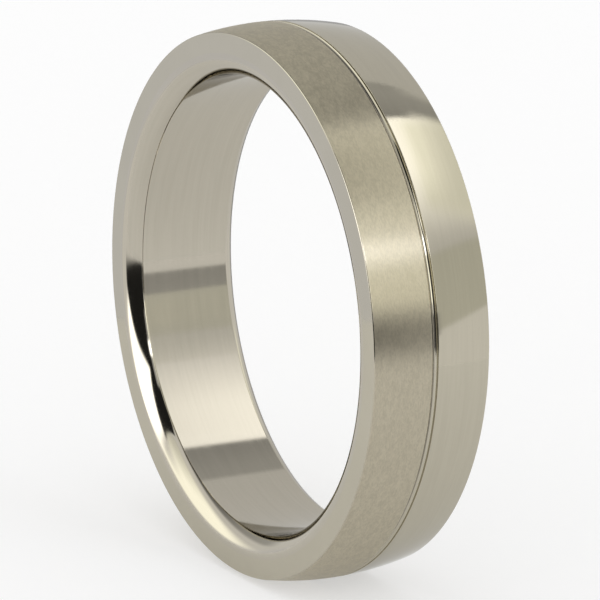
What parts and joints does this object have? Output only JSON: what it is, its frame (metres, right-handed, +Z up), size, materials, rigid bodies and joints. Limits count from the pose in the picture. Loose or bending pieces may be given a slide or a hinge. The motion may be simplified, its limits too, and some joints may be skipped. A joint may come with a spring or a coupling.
{
  "type": "wedding band",
  "caption": "Comfort-fit wedding band: a satin band and a polished band on an inner sleeve, meeting at a narrow turned groove.",
  "frame": {"origin": "centre of the finger bore at mid width", "axes": "+Y along the finger axis, from the satin side face to the polished side face; +Z up with the ring standing on its rim"},
  "size_m": [0.022, 0.005, 0.022],
  "materials": {
    "sleeve_metal": "polished",
    "solder_metal": "satin",
    "satin_metal": "satin",
    "polished_metal": "polished"
  },
  "bodies": {
    "root": {"comfort_sleeve": "sleeve_metal", "solder_seam": "solder_metal", "satin_band": "satin_metal", "polished_band": "polished_metal"}
  },
  "joints": []
}
